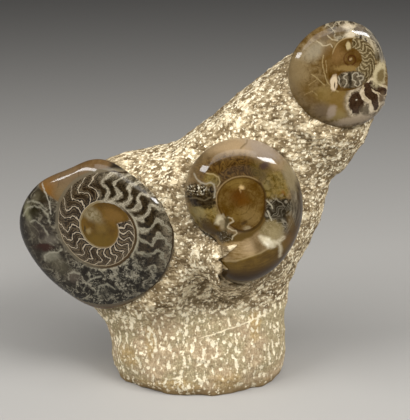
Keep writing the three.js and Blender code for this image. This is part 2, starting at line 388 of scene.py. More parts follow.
deep, _ = chiselled(spots)
push = -deep
for size, height in SWELLS:
    push += height * noises(spots, size)
push *= np.clip(heights / FULL_HEIGHT, 0, 1)
push[gaps < -STILL_DEPTH * MM] = 0
spots = spots + normals * (push * MM)[:, None]
spots[sawn, 2] = 0
spots[:, 2] = np.maximum(spots[:, 2], 0)
reshape(stone.data, spots)

hidden = stone.vertex_groups.new(name="plain")
plain = ((gaps < -HIDDEN["inside"] * MM) | (heights < HIDDEN["foot"])
         | (normals[:, 1] > HIDDEN["back"]))
hidden.add([int(i) for i in np.nonzero(plain)[0]], 1.0, "REPLACE")
thin = stone.modifiers.new("thin", "DECIMATE")
thin.ratio = min(1.0, STONE_TRIANGLES / (2 * len(stone.data.polygons)))
thin.vertex_group, thin.vertex_group_factor = "plain", 3.0
settle(stone)
stone.vertex_groups.clear()
stone.data.polygons.foreach_set("use_smooth", [True] * len(stone.data.polygons))

spots = corners(stone.data)
_, bruise = chiselled(spots)
layer = stone.data.attributes.new("bruise", "FLOAT", "POINT")
layer.data.foreach_set("value", bruise)


class Field:
    """A value or colour that varies over a surface, worked out by a material's nodes."""

    def __init__(self, tree, socket):
        self.tree, self.socket = tree, socket

    def math(self, operation, *others):
        return made(self.tree, "Math", dict(enumerate((self, *others))), operation=operation)

    def __add__(self, other):
        return self.math("ADD", other)

    def __sub__(self, other):
        return self.math("SUBTRACT", other)

    def __rsub__(self, other):
        return self.math("MULTIPLY_ADD", -1, other)

    def __mul__(self, other):
        return self.math("MULTIPLY", other)

    def __truediv__(self, other):
        return self.math("DIVIDE", other)

    def __abs__(self):
        return self.math("ABSOLUTE")

    def fraction(self):
        return self.math("FRACT")

    def step(self, low, high):
        """0 below low and 1 above high, with a smooth change between."""
        ends = (low, high, 0, 1) if low < high else (high, low, 1, 0)
        inputs = dict(zip(("Value", "From Min", "From Max", "To Min", "To Max"), (self, *ends)))
        return made(self.tree, "MapRange", inputs, interpolation_type="SMOOTHSTEP")

    def lay(self, amount, tone):
        """Lays another colour over this one, as much as the amount."""
        self.socket = mixed(amount, self, tone).socket

    def soft_ovals(self, where, wear, oval_list):
        """Lays soft ovals over this colour: each one's oval, colour, amount, blur and tilt."""
        for oval, tone, amount, *more in oval_list:
            blur, tilt = more + [0.6, 0][len(more):]
            share = patch(where, oval, blur, tilt, wear)
            self.lay(share if amount == 1 else share * amount, tone)

    def veins(self, where, rows):
        """Draws lines over this colour: each one's points, how coarsely and how far it strays, its
        half width and blur, its colour and the amount of it."""
        for points, size, stray, half, blur, tone, amount in rows:
            self.lay(thread(stirred(where, size, stray), points, half, blur) * amount, tone)


def made(tree, kind, inputs, output=0, **settings):
    """An output of a new node. Its inputs, by name or number, take fields, numbers, vectors and
    colours, which are red, green and blue in thousandths."""
    node = tree.nodes.new("ShaderNode" + kind)
    for name, value in settings.items():
        setattr(node, name, value)
    for name, value in inputs.items():
        socket = node.inputs[name]
        if isinstance(value, Field):
            tree.links.new(value.socket, socket)
        elif socket.type == "RGBA":
            socket.default_value = (*(part / 1000 for part in value), 1)
        else:
            socket.default_value = value
    return Field(tree, node.outputs[output])


def parts(field, kind):
    """What a node of this kind takes a field apart into."""
    node = made(field.tree, kind, {0: field}).socket.node
    return [Field(field.tree, socket) for socket in node.outputs]


def own_millimetres(tree, place=Matrix()):
    """Millimetres in the block's frame, or in the frame of an ammonite's place."""
    where = made(tree, "TexCoord", {}, "Object")
    return made(tree, "Mapping", {"Vector": where, "Location": place.to_translation(),
                                  "Rotation": place.to_euler(), "Scale": (MM, MM, MM)},
                vector_type="TEXTURE")


def grain(where, size, detail=2, roughness=0.5, distortion=0, output="Fac"):
    """Soft noise from 0 to 1, of a size in millimetres."""
    return made(where.tree, "TexNoise", {
        "Vector": where, "Scale": 1 / size, "Detail": detail, "Roughness": roughness,
        "Distortion": distortion}, output)


def mixed(amount, one, other):
    """One colour, or the other where the amount is 1."""
    inputs = {"Factor": amount, 6: one, 7: other}
    return made(amount.tree, "Mix", inputs, 2, data_type="RGBA")


def finish(piece, name, make, relief_height):
    """Gives a piece a material whose nodes are laid by make(tree, shader), which returns its colour
    and its fine relief, a field from 0 to 1 with its full height in millimetres."""
    material = bpy.data.materials.new(name)
    material.use_nodes = True
    tree = material.node_tree
    shader = tree.nodes["Principled BSDF"]
    color, relief = make(tree, shader)
    tree.links.new(color.socket, shader.inputs["Base Color"])
    bump = made(tree, "Bump", {"Distance": relief_height * MM, "Height": relief}, "Normal")
    tree.links.new(bump.socket, shader.inputs["Normal"])
    piece.data.materials.append(material)


def vector_math(operation, one, *others):
    """A vector sum on a field of places. SCALE takes a field of numbers, and then a vector."""
    sockets = ("Scale", 0) if operation == "SCALE" else (0, 1, 2)
    output = "Value" if operation in ("LENGTH", "DOT_PRODUCT") else "Vector"
    inputs = dict(zip(sockets, (one, *others)))
    return made(one.tree, "VectorMath", inputs, output, operation=operation)


def leaning(where, angle, stretch):
    """The same places turned about Y, and squeezed along the new X so that a pattern is drawn out."""
    return made(where.tree, "Mapping", {"Vector": where, "Rotation": (0, math.radians(angle), 0),
                                        "Scale": (1 / stretch, 1, 1)})


def limestone(tree, shader):
    where = own_millimetres(tree)
    x, y, z = parts(where, "SeparateXYZ")
    bruised = made(tree, "Attribute", {}, "Fac", attribute_name="bruise")
    fine, medium = grain(where, 0.9, 3, 0.6), grain(where, 3.2, 3, 0.6)
    broad = grain(where, 26, 3, 0.55)
    upper = (z + (broad - 0.5) * 26).step(66, 82)

    # the bare ground: pinkish tan and olive grey, with ochre stains, darkest along the foot
    ground = mixed(broad.step(0.4, 0.6), (350, 285, 155), (440, 318, 190))
    for middle, size in (((-42, 46), (6, 17)), ((-62, 30), (9, 9)), ((-24, 8), (26, 7)),
                         ((22, 14), (14, 10)), ((46, 58), (5, 15))):
        offset = vector_math("DIVIDE", vector_math("SUBTRACT", where, (middle[0], 0, middle[1])),
                             (size[0], 1e6, size[1]))
        soft_ovals = vector_math("LENGTH", offset) + (broad - 0.5) * 2 + (medium - 0.5)
        ground.lay(soft_ovals.step(1.3, 0.6) * 0.75, (470, 310, 115))
    ground.lay(medium.step(0.5, 0.32) * 0.6, (280, 195, 95))
    ground.lay(fine.step(0.45, 0.68) * 0.6, (760, 640, 420))
    chips = grain(vector_math("MULTIPLY", where, (1, 1, 0.55)), 1.7, 3, 0.68)
    ground.lay(chips.step(0.56, 0.64) * 0.7, (840, 710, 470))
    ground.lay(chips.step(0.45, 0.37) * 0.55, (235, 160, 75))
    ground.lay((z + (medium - 0.5) * 10).step(11, 3) * 0.8, (270, 175, 72))

    # the worked ground higher up: a crust of pale flakes with brown between them
    flakes = grain(leaning(where, -42, 2.2), 2.1, 4, 0.62, 0.5)
    clumps = grain(where, 8, 3, 0.6)
    lie = flakes + (clumps - 0.5) * 1.15 + (fine - 0.5) * 0.25
    crust = mixed(lie.step(0.32, 0.52), (142, 94, 42), (390, 296, 168))
    crust.lay(lie.step(0.5, 0.68), (760, 630, 410))
    drift = grain(where, 15, 2, 0.5) + (flakes - 0.5) * 0.5
    crust.lay(drift.step(0.52, 0.36) * 0.5, (230, 165, 82))
    ground.lay(upper, crust)

    crushed = mixed((fine + medium).step(0.7, 1.1), (720, 580, 355), (970, 870, 640))
    edge = bruised + (medium - 0.5) + (fine - 0.5) + (chips - 0.5) * 1.2
    edge = edge - upper * (flakes * -1 + clumps * -1.3 + 1.4)
    color = mixed((edge + (1 - upper) * 0.08).step(0.04, 0.22), ground, crushed)
    vein = abs(z - (x - 2) * 0.27 - 53 + (medium - 0.5) * 2.5).step(0.75, 0.35)
    vein = vein * x.step(-2, 4) * x.step(75, 40) * y.step(0, -5) * fine.step(0.3, 0.45)
    color.lay(vein, (920, 800, 560))
    shader.inputs["Roughness"].default_value = 0.88
    shader.inputs["Specular IOR Level"].default_value = 0.25
    return color, fine * 0.5 + medium * 0.6 + flakes * upper * 0.9


finish(stone, "worked_limestone", limestone, 1)
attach(stone, "root")
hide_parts("limestone_matrix")

# ---- Left ammonite ----
# A flat, nearly level disc, cut and polished across its coil. Amber calcite fills the middle. Around
# it the chambers hold near-black calcite between cream walls folded like lightning, the later
# chambers are smoky and marbled, and the last, empty one is filled with orange-brown mud.
LEFT_COIL = {"centre": (6.2, 5.2, 0), "start": 22, "growth": 0.743}
LEFT_CHAMBERS = 22.7  # to a full turn
# How far a wall between chambers runs ahead along the coil, in chambers, at equal steps outwards.
LEFT_FOLD = (-0.55, -0.35, -0.05, 0.12, 0.2, 0.22, 0.15, 0, -0.25, -0.42, -0.25, 0, 0.3)


def polished(name, calcite):
    """A smooth copy of an ammonite's solid, in its own calcite."""
    form = merged_copy(name)
    bmesh.ops.join_triangles(form, faces=form.faces, angle_face_threshold=math.radians(40),
                             angle_shape_threshold=math.radians(40))
    piece = linked(name + "_polished", bpy.data.meshes.new(name + "_polished"))
    form.to_mesh(piece.data)
    form.free()
    piece.data.polygons.foreach_set("use_smooth", [True] * len(piece.data.polygons))
    soften = piece.modifiers.new("soften", "SUBSURF")
    soften.levels = soften.render_levels = 3
    finish(piece, name + "_calcite", calcite, 0.05)
    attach(piece, "root")
    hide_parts(name)


def joined(x, y):
    """Places on a plane from two fields."""
    return made(x.tree, "CombineXYZ", {0: x, 1: y})


def stirred(where, size, amount):
    """The same places, shifted about by soft noise of a size, by up to half an amount."""
    red, green, _ = parts(grain(where, size, 1.5, output="Color"), "SeparateColor")
    shift = vector_math("SUBTRACT", joined(red, green), (0.5, 0.5, 0))
    return vector_math("MULTIPLY_ADD", shift, (amount, amount, 0), where)


def face_of(tree, name):
    """Places on an ammonite's face in its own frame, in millimetres, the same right through it."""
    where = own_millimetres(tree, PLACES[name])
    return vector_math("MULTIPLY", where, (1, 1, 0))


def polar(where):
    """X, Y, the reach from the middle, the angle clockwise from the top, and that in turns."""
    x, y, _ = parts(where, "SeparateXYZ")
    swing = x.math("ARCTAN2", y)
    return x, y, (x * x + y * y).math("SQRT"), swing, (swing / (2 * math.pi)).fraction()


def coil(where, centre, start, growth):
    """Turns along a coil, the share across its whorl, and millimetres from its centre."""
    _, _, reach, _, turn = polar(vector_math("SUBTRACT", where, centre))
    rise = (reach / start).math("LOGARITHM", math.e) / growth - turn
    across = rise.fraction()
    return turn + rise - across + 1, across, reach


def to_wall(place, reach, chambers):
    """Millimetres to the nearest wall, from a place along the coil counted in chambers."""
    return (0.5 - abs(place.fraction() - 0.5)) * reach * (2 * math.pi / chambers)


def shell_noises(face, loose, broad, small, curl):
    """A shell's clouds, marbling and fine noise, and the wear of its edges, which is -0.6 to 0.6."""
    marble = grain(loose, small, 4, 0.62, curl)
    return grain(loose, broad, 3, 0.6), marble, grain(face, 0.9, 3, 0.65), (marble - 0.5) * 1.2


def mottled(field, dark, light, spread=0.16):
    """A dark and a light colour, mixed by a field of noise."""
    return mixed(field.step(0.5 - spread, 0.5 + spread), dark, light)


def banded(field, count):
    """Lines along a field's level curves: 1 on each line and 0 midway between two."""
    return abs((field * count).fraction() - 0.5) * 2


def patch(where, oval, blur=0.35, tilt=0, wear=0):
    """1 inside an oval on the face (its middle's X and Y, and its two radii) and 0 outside it, with a
    soft edge that a field may wear away."""
    x, y, wide, tall = oval
    offset = vector_math("SUBTRACT", where, (x, y, 0))
    lean = math.radians(tilt)
    along = vector_math("DOT_PRODUCT", offset, (math.cos(lean) / wide, math.sin(lean) / wide, 0))
    across = vector_math("DOT_PRODUCT", offset, (-math.sin(lean) / tall, math.cos(lean) / tall, 0))
    out = (along * along + across * across).math("SQRT")
    return (out + wear).step(1 + blur, 1 - blur)


def thread(where, points, half, blur=0.5):
    """1 on a line through points on the face, this many millimetres to each side of it."""
    nearest = None
    for (ax, ay), (bx, by) in zip(points, points[1:]):
        run = Vector((bx - ax, by - ay, 0))
        offset = vector_math("SUBTRACT", where, (ax, ay, 0))
        share = vector_math("DOT_PRODUCT", offset, tuple(run / run.length_squared))
        foot = vector_math("SCALE", share.math("MAXIMUM", 0).math("MINIMUM", 1), tuple(run))
        away = vector_math("LENGTH", vector_math("SUBTRACT", offset, foot))
        nearest = away if nearest is None else nearest.math("MINIMUM", away)
    return nearest.step(half + blur, half - blur * 0.5)


def gloss(shader, color, fine, spread):
    """The polish of all three ammonites, a clear skin over slightly hazy stone, and their colour
    made darker and lighter by fine noise."""
    for name, value in (("Roughness", 0.28), ("Specular IOR Level", 0.03), ("Coat Weight", 0.9),
                        ("Coat Roughness", 0.05), ("Coat IOR", 1.38)):
        shader.inputs[name].default_value = value
    value = fine * (2 * spread) + (1 - spread)
    return made(color.tree, "HueSaturation", {"Value": value, "Color": color})


def stepped(share, values, low, high):
    """A field that follows a table of values at equal steps of a share from 0 to 1."""
    curve = made(share.tree, "FloatCurve", {"Value": share})
    mapping = curve.socket.node.mapping
    spots = [(step / (len(values) - 1), (value - low) / (high - low))
             for step, value in enumerate(values)]
    points = mapping.curves[0].points
    points[0].location, points[1].location = spots[0], spots[-1]
    for spot in spots[1:-1]:
        points.new(*spot)
    mapping.update()
    return curve * (high - low) + low


def left_calcite(tree, shader):
    face = face_of(tree, "left_ammonite")
    loose = stirred(face, 9, 4)
    ragged = stirred(stirred(face, 5, 2.8), 1.5, 1)
    along, across, reach = coil(stirred(stirred(face, 14, 1.8), 3, 1), **LEFT_COIL)
    cloud, marble, fine, wear = shell_noises(face, loose, 13, 4, 0.7)

    # millimetres to the nearest wall between chambers; the walls stray more as the coil grows
    stray = (grain(face, 10, 2, 0.5) - 0.5) * (along.step(1.1, 1.6) * 1.4 + 0.8)
    stray = stray + (grain(face, 2.6, 2, 0.5) - 0.5) * 0.42
    place = along * LEFT_CHAMBERS - stepped(across, LEFT_FOLD, -1, 1) + stray
    gap = to_wall(place, reach, LEFT_CHAMBERS)

    # smoky marbled chambers, with the ghosts of their walls
    color = mottled(marble * 0.7 + fine * 0.3, (10, 8, 4), (125, 108, 73), 0.1)
    swirls = banded(grain(stirred(face, 5, 4.5), 7, 2, 0.5, 1.2), 6)
    color.lay(swirls.step(0.55, 0.95) * marble.step(0.36, 0.56) * 0.7, (270, 245, 180))
    color.lay(swirls.step(0.3, 0) * 0.6, (8, 6, 3))
    ghost = (gap + wear * 1.6 + (fine - 0.5) * 2).step(2.6, 0.6) * cloud.step(0.3, 0.5)
    color.lay(ghost * 0.55, (290, 262, 195))
    pit = across.step(0.15, 0.3) * across.step(0.85, 0.7)
    color.lay((gap + wear * 2.4).step(3.2, 4.6) * pit * 0.85, (9, 7, 4))
    blots = grain(stirred(face, 4, 3), 4.2, 3, 0.55, 1.2) + (cloud - 0.5) * 0.6
    color.lay(blots.step(0.53, 0.46) * 0.9, (7, 4, 1))
    outline = abs(blots - 0.56).step(0.028, 0.004) * marble.step(0.35, 0.55)
    color.lay(outline * 0.7, (400, 365, 270))
    smoke = mottled(cloud * 0.4 + marble * 0.6, (8, 5, 2), (62, 48, 30), 0.11)
    arcs = banded(grain(loose, 15, 1, 0.5, 0.6), 6)
    smoke.lay(arcs.step(0.55, 1) * marble.step(0.35, 0.6) * 0.75, (230, 205, 145))
    smoke.lay(arcs.step(0.3, 0) * cloud.step(0.4, 0.6) * 0.6, (6, 4, 1))
    color.lay(along.step(1.56, 1.66) * 0.85, smoke)
    shade = (reach - 66).step(-5, 8) * along.step(1.5, 1.6) * along.step(1.85, 1.75)
    color.lay(shade * 0.8, (10, 7, 4))
    color.soft_ovals(ragged, wear, [
        ((-48, 28, 6, 7), (30, 21, 9), 0.8, 0.5, 30), ((-54, 24, 3, 6), (140, 120, 70), 0.45, 0.6, -35),
        ((-61, 13, 3.6, 8), (215, 200, 120), 0.75, 0.7, 20), ((-54, 13, 5.5, 5), (18, 14, 5), 0.9, 0.5),
        ((-50, -3, 10, 8), (40, 28, 21), 0.5, 0.7), ((-57, -2, 4, 9), (90, 78, 48), 0.35, 0.6, 20),
        ((-40, -9, 6, 4), (150, 130, 98), 0.6, 0.7, 20), ((-47, -16, 9, 3.6), (26, 6, 2), 0.95, 0.4, 12),
        ((-52, -22, 5, 5), (14, 9, 4), 0.8, 0.6, 30), ((-40, -23.5, 7.5, 4), (215, 200, 145), 0.8, 0.5, 10),
        ((-32, -31, 11, 6), (80, 68, 40), 0.6, 0.7, -30),
        ((-20.5, -39, 6.5, 5), (105, 80, 58), 0.6, 0.5, 10), ((8, -50, 10, 4), (12, 10, 6), 0.6, 0.7, 20)])
    for line in ([(-46, -28), (-46, -23.5), (-41, -19.8), (-33.5, -18.8), (-30, -16)],
                 [(-66, 8), (-61, 16), (-54, 18.5), (-47.5, 17.5), (-42, 13), (-40, 6)],
                 [(-62, 20), (-56, 22.5), (-49, 21.5), (-43, 17)],
                 [(-58, 5), (-53, 6.5), (-46, 2), (-42, -4)],
                 [(-25, -42), (-25, -37), (-20, -34.5), (-15, -36)],
                 [(-12, -50), (-9, -43), (-3, -38), (4, -36)],
                 [(0, -52), (2, -45), (9, -42), (15, -46)]):
        arc = thread(stirred(face, 3, 2.2), line, 0.3, 1.2) * marble.step(0.25, 0.5)
        color.lay(arc * 0.7, (330, 305, 225))

    # later chambers at the right: dark hearts between broad, soft, pale walls
    heart = mottled(marble * 0.5 + fine * 0.5, (5, 3, 1), (40, 26, 11), 0.12)
    haze = mottled(marble * 0.6 + fine * 0.4, (36, 27, 14), (200, 165, 110), 0.11)
    cream = mottled(marble * 0.5 + fine * 0.5, (215, 185, 125), (460, 405, 300), 0.12)
    cream.lay(along.step(1.15, 1.3) * 0.7, (210, 200, 140))
    clear = across.step(0.16, 0.26) * across.step(0.92, 0.76)
    width = (cloud - 0.5) * 5 + wear
    later = mixed((gap + width).step(1.9, 3.1) * clear, haze, heart)
    later.lay((gap + width * 0.6).step(1.9, 1) * 0.9, cream)
    later.lay(gap.step(0.6, 0.15) * 0.6, (130, 108, 70))
    later.lay(across.step(0.2, 0.1) * 0.7, cream)
    here = along.step(1.42, 1.3) * along.step(0.94, 1)
    here = here * (cloud + (1.36 - along) * 3).step(0.35, 0.6)
    color.lay(here, later)

    # earlier chambers: near-black between thin cream walls, closed and rounded at their inner ends
    edge = gap.math("MINIMUM", (across - 0.1) * reach * 0.8)
    early = mottled(marble * 0.4 + fine * 0.6, (3, 1, 0.5), (46, 27, 10), 0.12)
    early.lay(edge.step(2.2, 1) * 0.8, (4, 2, 1))
    twin = abs(edge - 2.2 - wear * 0.8).step(0.7, 0.2) * cloud.step(0.38, 0.5)
    early.lay(twin * 0.6, (170, 125, 70))
    early.lay(across.step(0.66, 0.9) * fine.step(0.4, 0.6) * 0.5, (140, 108, 66))
    early.lay(edge.step(0.75, 0.3), (380, 310, 215))
    lining = mixed(along.step(0.45, 0.6), (120, 68, 10), (180, 130, 50))
    early.lay(across.step(0.13, 0.07) * 0.9, lining)
    color.lay(along.step(1.02, 0.96) * along.step(0.17, 0.19), early)

    # amber in the middle
    amber = mottled(cloud, (70, 34, 1), (128, 65, 3))
    amber.lay(fine.step(0.45, 0.7) * 0.5, (85, 44, 5))
    milky = mottled(marble, (125, 88, 30), (290, 240, 140))
    amber.lay(patch(ragged, (-5, 18, 12, 5.5), 0.5, -32, wear) * 0.9, milky)
    amber.soft_ovals(ragged, wear, [
        ((15, 18, 8, 6), (200, 106, 20), 0.6, 0.7, -20), ((4, -5, 14, 6), (110, 68, 6), 0.5, 0.7),
        ((4.8, 5.5, 5, 4), (210, 135, 28), 0.4, 0.8), ((-6, 2.4, 2.4, 2.2), (270, 200, 85), 0.7),
        ((-9.3, 3.4, 0.9, 3.2), (30, 20, 4), 0.8)])
    shade = along.step(-0.25, 0.1) * across.step(0.6, 1) * along.step(0.2, 0.1)
    amber.lay(shade * 0.6, (60, 30, 6))
    color.lay(along.step(0.195, 0.175), amber)

    # the mud-filled body chamber, and the shell that runs on from it round the right-hand rim, laid
    # near-black past its first few millimetres as painted shade where the rim meets the stone
    mud = mottled(cloud, (96, 48, 12), (145, 85, 33))
    mud.lay(marble.step(0.54, 0.7) * 0.6, (190, 135, 75))
    mud.soft_ovals(loose, wear, [
        ((-44, 31, 8, 11), (200, 86, 12), 0.7, 0.6, -20), ((-28, 34, 8, 6), (200, 145, 75), 0.6, 0.7, 30),
        ((-8, 47, 30, 7), (155, 110, 66), 0.6, 0.7, 12)])
    mud.veins(face, [([(-33, 36), (-32, 44), (-33, 54)], 4, 1.5, 0.12, 0.5, (45, 22, 8), 0.5),
                     ([(-15, 44), (-16, 53)], 4, 1.5, 0.12, 0.5, (45, 22, 8), 0.5)])
    color.lay(along.step(1.82, 1.83), mud)
    color.veins(face, [([(-49, 37), (-43, 29), (-40, 22), (-39, 14)], 2.5, 2.5, 0.35, 0.9,
                        (360, 325, 250), 0.85)])
    rim = along.step(2, 2.02) * along.step(2.48, 2.4)
    tan = mottled(marble, (165, 115, 55), (260, 195, 115))
    inside, outside = across * reach, (1 - across) * reach
    # painted shade: past about 3 mm from the seam the rim is near-black, a dark line by the stone
    tan.lay(inside.step(2.4, 3.2), (20, 14, 8))
    color.lay(rim, tan)

    # shell walls along the coil
    band = along.step(1.06, 1.16) * along.step(1.64, 1.5) * inside.step(3.2, 2.4)
    color.lay(band, (48, 26, 7))
    color.lay(along.step(1.45, 1.6) * inside.step(4.8, 2.6) * 0.8, (125, 103, 66))
    color.lay(outside.step(0.95, 0.45) * along.step(0.15, 0.2) * along.step(0.9, 0.7) * 0.8, (340, 270, 170))
    strip = inside.step(6.4, 4.6) * inside.step(2.9, 3.6) * along.step(1.08, 1.18)
    color.lay(strip * along.step(1.62, 1.5) * marble.step(0.35, 0.55) * 0.7, (340, 300, 210))
    color.lay(inside.step(1.5, 0.7) * rim, (35, 20, 9))
    return gloss(shader, color, fine, 0.25), marble


polished("left_ammonite", left_calcite)

# ---- Middle ammonite ----
# The thickest of the three, polished whole, with its last whorl left as a full round tube round a
# lower inner disc. Its shell is ground through in places to brown, olive and smoky calcite. The tube
# ends in a broken mouth under the stone.
# Radii of the edge of its inner disc, every 30 degrees clockwise from the top.
MIDDLE_DISC = (21.6, 22, 20.8, 19.2, 20.2, 21.8, 21.4, 18.8, 17.8, 18.8, 20.5, 21.4, 21.6)


def middle_calcite(tree, shader):
    face = face_of(tree, "middle_ammonite")
    loose = stirred(face, 9, 4)
    ragged = stirred(stirred(face, 6, 3.2), 1.8, 1.2)
    x, y, reach, swing, turn = polar(stirred(face, 12, 1.2))
    cloud, marble, fine, wear = shell_noises(face, loose, 9, 3, 0.8)
    around = grain(joined(reach, turn * 36), 1.5, 4, 0.62, 0.4)  # drawn out along the coil
    across = grain(joined(swing * 24, reach * 0.2), 1.5, 4, 0.62, 0.8)  # drawn out across it

    # brown shell of the last whorl, pinkish on the crest, with a painted reflection as a greyish-pink
    # patch at its upper right, and a mane of fine dark curls below it
    color = mottled(cloud, (125, 80, 32), (215, 145, 70))
    color.lay(marble.step(0.55, 0.75) * 0.4, (75, 45, 15))
    color.soft_ovals(loose, wear * 0.5, [
        # the second oval below, greyish pink at the crest's upper right, is a painted reflection
        ((-4, 45, 24, 7), (310, 215, 115), 0.9), ((19, 42, 15, 8), (245, 195, 150), 0.8, 0.6, -30),
        ((-27, 29, 8, 4), (230, 150, 62), 0.7, 0.6, 40)])
    mane = mottled(across * 0.5 + cloud * 0.5, (42, 17, 2), (110, 58, 11), 0.13)
    curls = banded(grain(stirred(face, 5, 3), 8, 1, 0.4, 0.3), 8)
    mane.lay(curls.step(0.4, 1) * cloud.step(0.3, 0.55) * 0.75, (18, 7, 1))
    mane.lay(curls.step(0.25, 0) * 0.35, (150, 85, 22))
    mane.lay(patch(loose, (17, 27, 10, 8), 0.5, -30) * 0.6, (88, 60, 9))
    color.lay(patch(loose, (-6, 25, 28, 14), 0.35, 0, wear * 0.5), mane)

    # olive and gold calcite at both sides
    gold = mottled(marble, (68, 40, 3), (185, 125, 34))
    gold.lay(cloud.step(0.45, 0.62) * 0.6, (200, 150, 55))
    color.soft_ovals(ragged, wear * 0.5, [
        ((27, 13.5, 11, 12.5), gold, 1, 0.22, -12), ((-29, -9, 11.5, 13.5), gold, 1, 0.25, 12),
        ((-22.5, 20.5, 6.5, 5), gold, 1, 0.3, -10)])
    color.soft_ovals(ragged, wear, [
        ((31, 6, 4.2, 4.2), (200, 120, 20), 0.6), ((33, 9, 1.2, 2.2), (150, 55, 8), 0.6, 0.7, 20),
        ((26, 31, 4, 2.8), (235, 150, 55), 0.6, 0.7, -20), ((18, 30, 3.6, 2.6), (45, 25, 22), 0.85),
        ((-33, -5, 5, 4), (250, 195, 75), 0.6, 0.7), ((-24, -20, 9, 10), (52, 26, 1), 0.95, 0.5, 35)])

    # smoky grey at the right, full of fine curved lines, and upright streaks beyond it, darkened at
    # the rim's outer part as a painted dark reflection where the tube turns away
    grey = mottled(marble, (14, 9, 3), (58, 45, 26))
    lines = banded(grain(stirred(face, 7, 4), 8, 1, 0.5, 0.6), 7)
    grey.lay(lines.step(0.45, 0.95) * cloud.step(0.3, 0.5) * 0.7, (260, 225, 160))
    grey.lay(lines.step(0.3, 0.05) * 0.6, (12, 8, 4))
    grey.lay(patch(loose, (33, -5, 6, 5), 0.6) * 0.5, (20, 15, 8))
    color.lay(patch(ragged, (31, -9, 15.5, 14.5), 0.22, -25, wear * 0.5), grey)
    rim = mottled(around, (30, 20, 8), (200, 165, 110))
    rim.lay((cloud + fine).step(1.15, 1.35) * 0.6, (500, 450, 350))
    side = reach.step(38.5, 41) * turn.step(0.13, 0.17) * turn.step(0.355, 0.325)
    color.lay(side * 0.9, rim)
    # painted dark reflection: the rim's outer part is laid dark where the tube turns away
    color.lay(side * reach.step(43.5, 46) * turn.step(0.18, 0.2) * 0.7, (40, 25, 12))
    color.soft_ovals(ragged, wear, [
        ((39, 20, 5, 11), (215, 165, 85), 0.75, 0.5, 15), ((39.5, -17, 3.2, 9), (110, 60, 8), 0.6, 0.6, 12),
        ((41, -31, 7, 13), (58, 28, 3), 0.9, 0.4, -28), ((36, -33, 3, 8), (125, 60, 10), 0.7, 0.6, -30)])

    # dark hollow at the left, with bright crystals, under a soft white wall
    dark = mottled(marble, (10, 5, 1), (75, 48, 17), 0.11)
    dark.lay(banded(across, 4).step(0.75, 0.98) * marble.step(0.4, 0.6) * 0.6, (200, 160, 90))
    color.lay(patch(ragged, (-30.5, 8, 13, 9), 0.22, -8, wear * 0.8), dark)
    pit = patch(ragged, (-31, 2.8, 11.5, 5), 0.4, -6, wear)
    color.lay(pit * 0.75, (14, 7, 1))
    color.veins(face, [([(-40, 4.5), (-35, 6), (-29, 4), (-24, 6)], 3, 2, 0.2, 0.9,
                        (170, 130, 70), 0.6)])
    crystals = patch(loose, (-34, 12.5, 7, 3.2), 0.6) * grain(face, 1.9, 2, 0.7).step(0.54, 0.6)
    color.lay(crystals, (780, 700, 520))
    color.veins(face, [
        ([(-36, 24), (-34, 20), (-31.5, 17.6), (-27, 17.2), (-24, 18), (-21.3, 16), (-20.3, 12),
          (-21, 6)], 3, 1.8, 0.3, 1.1, (360, 310, 220), 0.85),
        ([(-27, 25), (-21.7, 24.3), (-17.7, 22), (-16.3, 18), (-18.5, 14.5)], 3, 1.2, 0.25, 0.7,
         (360, 270, 130), 0.8)])

    # body chamber: a pale tan crest, partly painted light, and a golden-brown side below the light line,
    # partly painted shade, darkest at the bottom
    tan = mottled(around * 0.6 + cloud * 0.4, (135, 78, 20), (325, 226, 108))
    tan.lay(patch(loose, (14, -31, 12, 6), 0.7, 20) * 0.7, (400, 290, 165))
    pale = mottled(marble, (150, 110, 45), (250, 195, 100))
    color.lay(patch(ragged, (24, -22, 10, 9), 0.25, -25, wear * 0.4), pale)
    # the crest's pale tan is partly painted light on the up-facing top of the tube
    crest = reach.step(20.5, 21.5) * turn.step(0.44, 0.475) * y.step(-22, -25) * turn.step(0.62, 0.6)
    color.lay(crest, tan)
    # painted shade: a darker brown band under the inner disc, where the previous whorl slopes down
    lens = [(-9, -27), (-1, -26.5), (7, -23), (13, -17.5), (16, -13)]
    color.lay(thread(stirred(face, 4, 1.5), lens, 2.6, 1.6), (95, 56, 14))
    level = y + abs(x + 17).math("POWER", 2) * -0.0066 + (marble - 0.5) * 1.2
    below = level.step(-45, -46.2) * turn.step(0.355, 0.385)
    # the side's golden brown is partly painted shade where the tube turns down, darker still further down
    side = mottled(around * 0.5 + cloud * 0.5, (72, 36, 2), (140, 80, 10))
    side.lay(fine.step(0.45, 0.7) * 0.5, (50, 24, 1))
    side.lay((reach + (cloud - 0.5) * 6).step(50, 60), (36, 16, 1))
    color.lay(below, side)
    color.veins(face, [([(-17, -45), (-5, -45), (6, -42), (16, -38.3), (20, -36)], 5, 1.2, 0.1, 1.4,
                        (400, 300, 140), 0.6)])
    color.soft_ovals(ragged, wear, [
        ((27, -25, 5, 6), (300, 240, 120), 0.5, 0.7), ((20.6, -30.6, 5.4, 3), (720, 640, 440), 1, 0.8, -38),
        ((21.4, -31.2, 2.6, 1.8), (900, 860, 720), 1, 0.8, -38),
        ((23, -33, 1.8, 1.2), (420, 350, 220), 0.6, 0.7)])
    for line, half in (([(15, -26), (19, -29), (23, -31.5), (28, -31), (33, -27.5)], 0.9),
                       ([(26, -30), (30, -32.5), (31.5, -37), (31, -43)], 0.6)):
        arm = thread(stirred(face, 3, 1.8), line, half, 2.2) * marble.step(0.25, 0.5)
        color.lay(arm * 0.85, (560, 480, 320))

    # white walls beside the inner disc
    color.veins(face, [
        ([(19.7, 3), (23.3, -1), (24.6, -3.7)], 3, 1.6, 0.2, 0.9, (500, 440, 310), 0.8),
        ([(20.7, -5.6), (22.3, -9.7), (23.6, -12.7)], 3, 1.6, 0.2, 0.9, (500, 440, 310), 0.8)])

